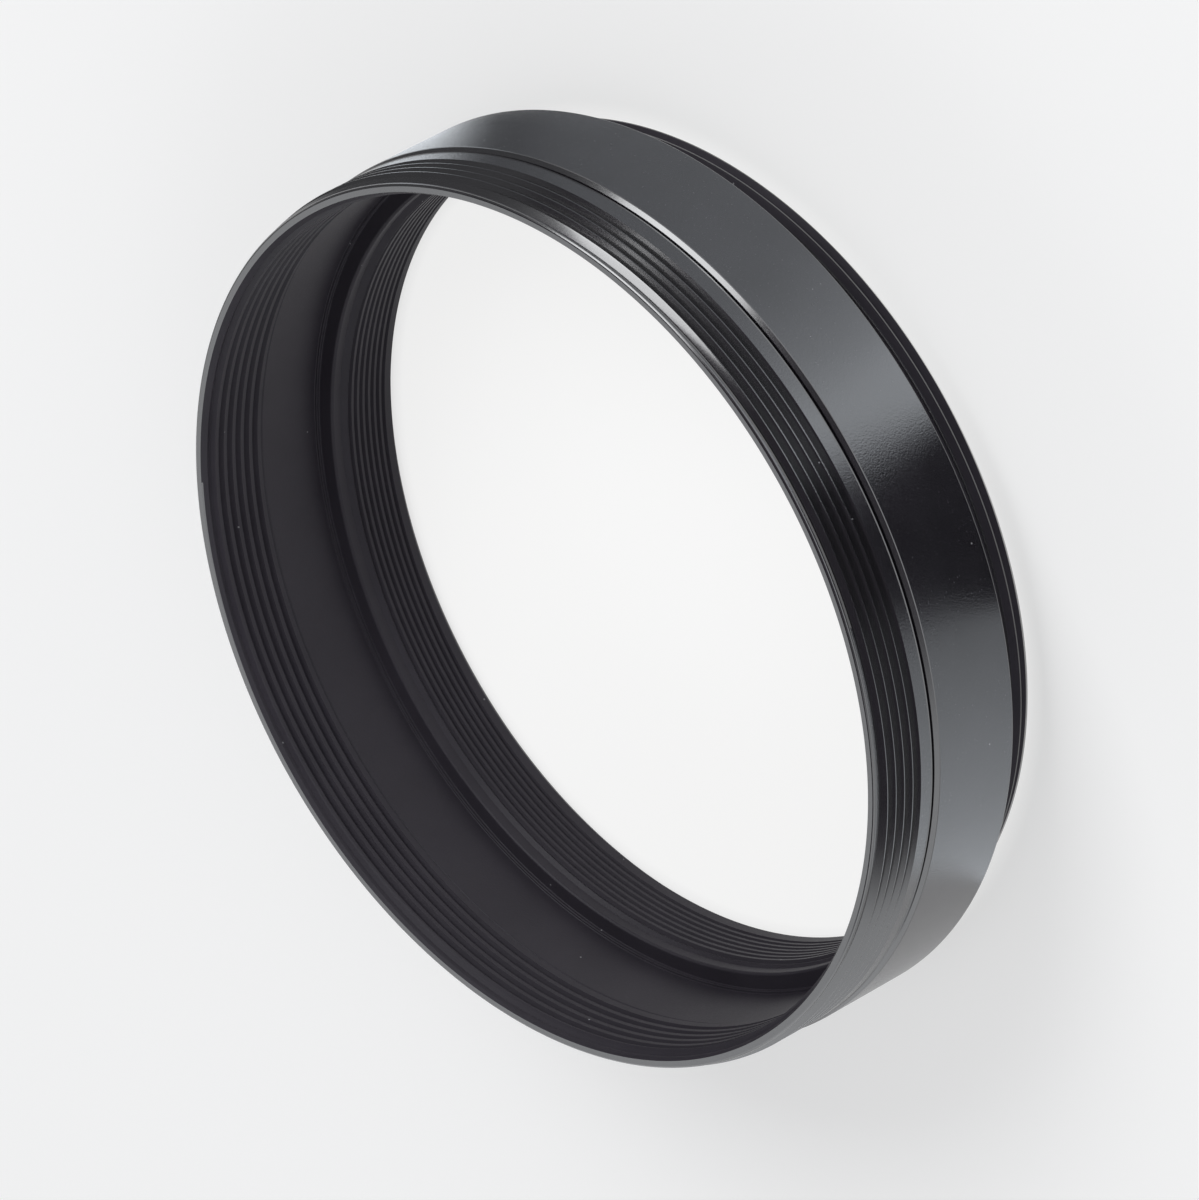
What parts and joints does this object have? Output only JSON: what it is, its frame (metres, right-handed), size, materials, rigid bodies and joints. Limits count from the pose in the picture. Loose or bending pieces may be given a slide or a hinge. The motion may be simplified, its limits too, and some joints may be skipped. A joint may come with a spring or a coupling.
{
  "type": "lens tube",
  "caption": "Short black anodised ring that joins optical tubes, threaded outside and inside at its front and more finely inside its rear.",
  "frame": {"origin": "centre of the rear end face, which the tube stands on", "axes": "+Z along the tube's axis, from the rear face to the front face with the two coarse threads"},
  "size_m": [0.0604, 0.0604, 0.0154],
  "materials": {
    "black_anodised": "satin black anodised, fine bead-blasted grain"
  },
  "bodies": {
    "root": {"tube_body": "black_anodised"}
  },
  "joints": []
}
